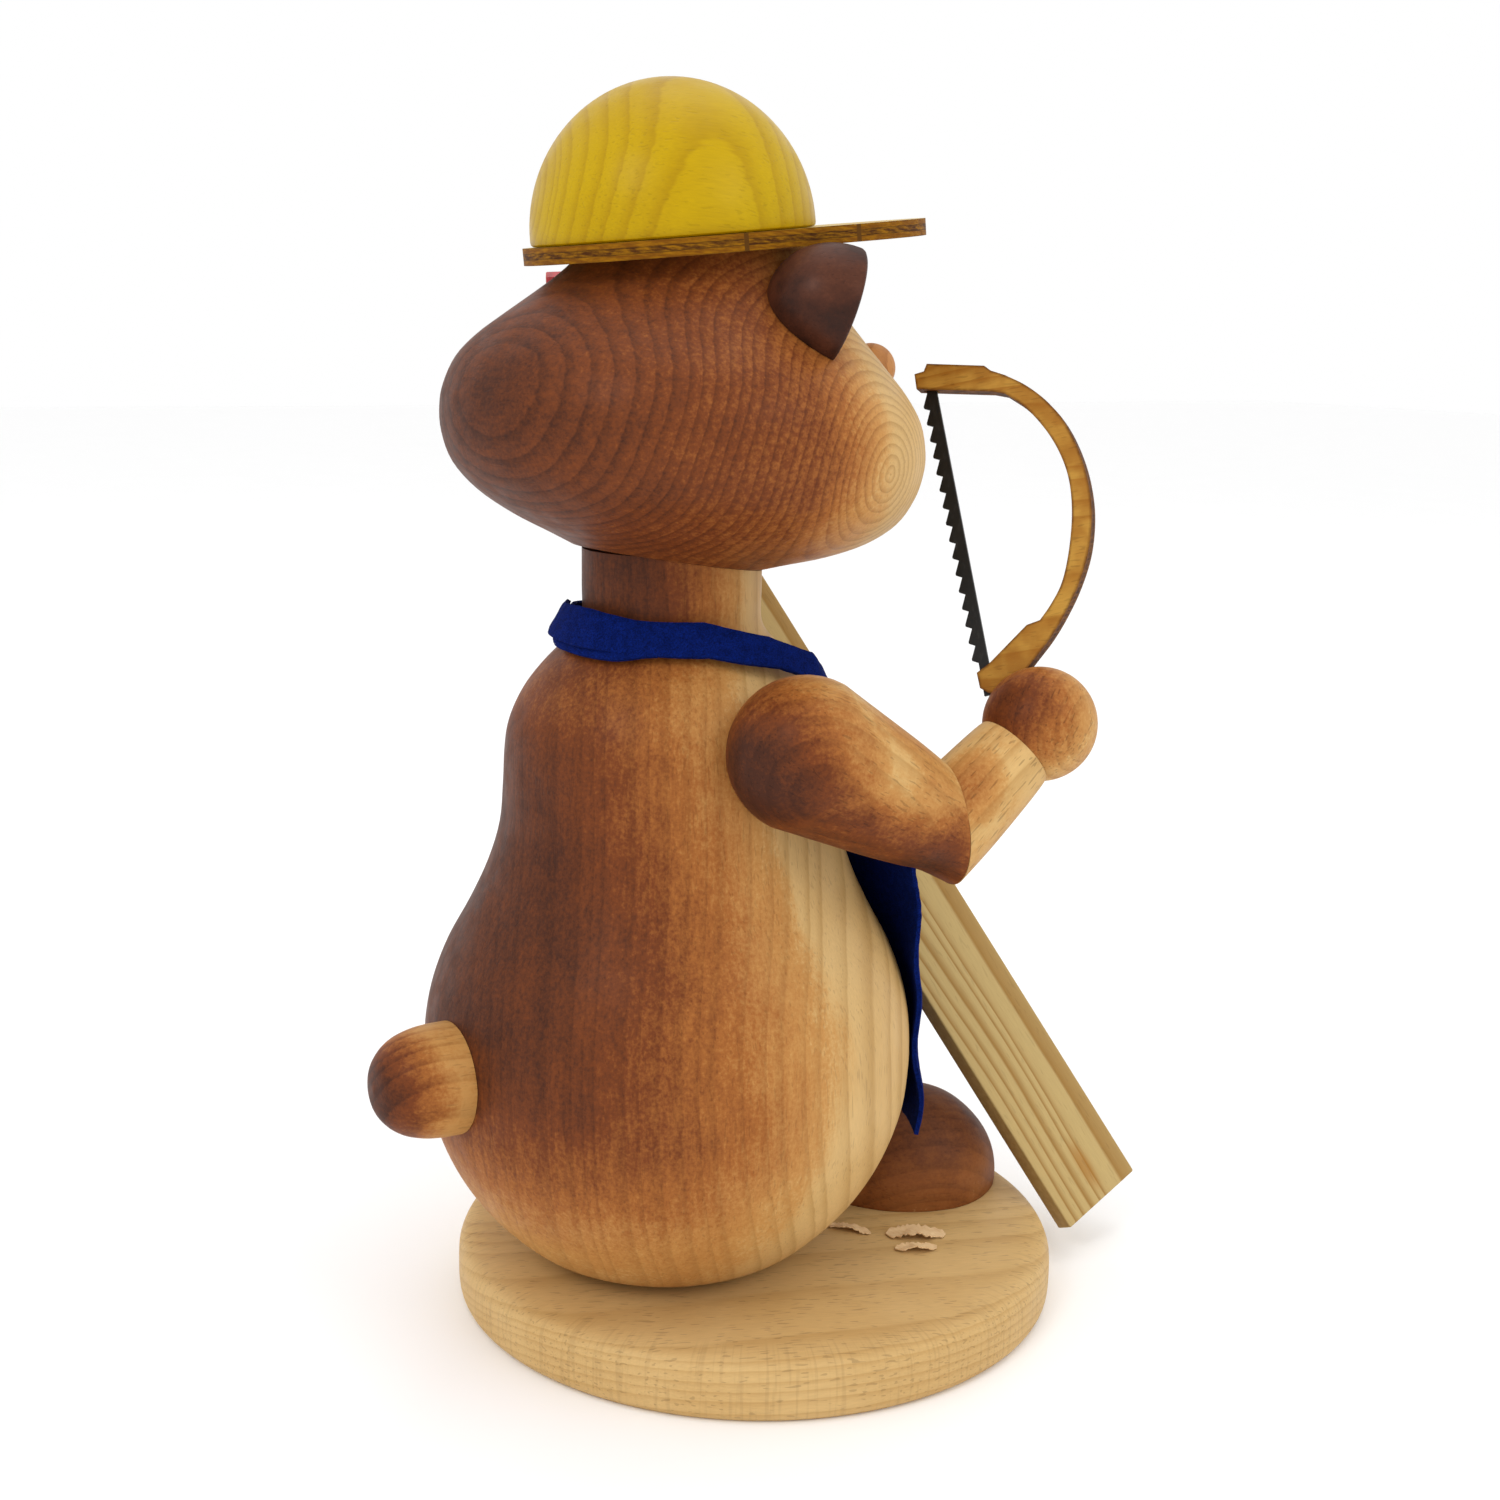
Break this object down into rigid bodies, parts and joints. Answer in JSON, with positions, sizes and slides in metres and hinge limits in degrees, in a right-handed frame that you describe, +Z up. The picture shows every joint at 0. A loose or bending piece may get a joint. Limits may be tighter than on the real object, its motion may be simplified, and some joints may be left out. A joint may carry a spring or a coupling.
{
  "type": "incense smoker figure",
  "caption": "Turned wooden incense smoker: a seated bear carpenter in helmet and felt apron with bow saw and plank, hollow body lifting off a round base.",
  "frame": {"origin": "centre of the base disc's flat underside", "axes": "+Z up, -Y is the way the bear faces, -X is the bear's right side with the saw, +X its left side with the plank's upper end"},
  "size_m": [0.1196, 0.1619, 0.2324],
  "materials": {
    "beech_natural": "natural turned beech, satin clear coat",
    "beech_stained": "beech with sprayed brown stain fading to natural, satin",
    "beech_dark": "beech with dark brown stain, satin",
    "yellow_stain": "yellow stained wood, satin",
    "plywood": "laser-cut birch plywood with burnt edges",
    "pine": "planed raw pine",
    "blue_felt": "royal blue craft felt",
    "brass_dish": "plain pressed sheet",
    "black_blade": "matt black",
    "red_paint": "red painted wood"
  },
  "bodies": {
    "stand": {"base_disc": "beech_natural", "burner_boss": "beech_natural", "burner_plate": "brass_dish", "plate_nail": "brass_dish", "foot_right": "beech_dark", "foot_left": "beech_dark", "shaving_1": "beech_natural", "shaving_2": "beech_natural", "shaving_3": "beech_natural"},
    "figure": {"body": "beech_stained", "tail": "beech_stained", "head": "beech_natural", "nose": "beech_natural", "ear_right": "beech_dark", "ear_left": "beech_dark", "helmet_brim": "yellow_stain", "helmet_dome": "yellow_stain", "pencil": "red_paint", "upper_arm_right": "beech_stained", "forearm_right": "beech_natural", "hand_right": "beech_stained", "upper_arm_left": "beech_stained", "forearm_left": "beech_natural", "hand_left": "beech_stained", "saw_frame": "plywood", "saw_blade": "black_blade", "plank": "pine", "apron": "blue_felt", "neck_strap": "blue_felt"}
  },
  "joints": [
    {"name": "figure_lift", "type": "slide", "parent": "stand", "child": "figure", "axis": [0, 0, 1], "range_m": [0, 0.08]}
  ]
}
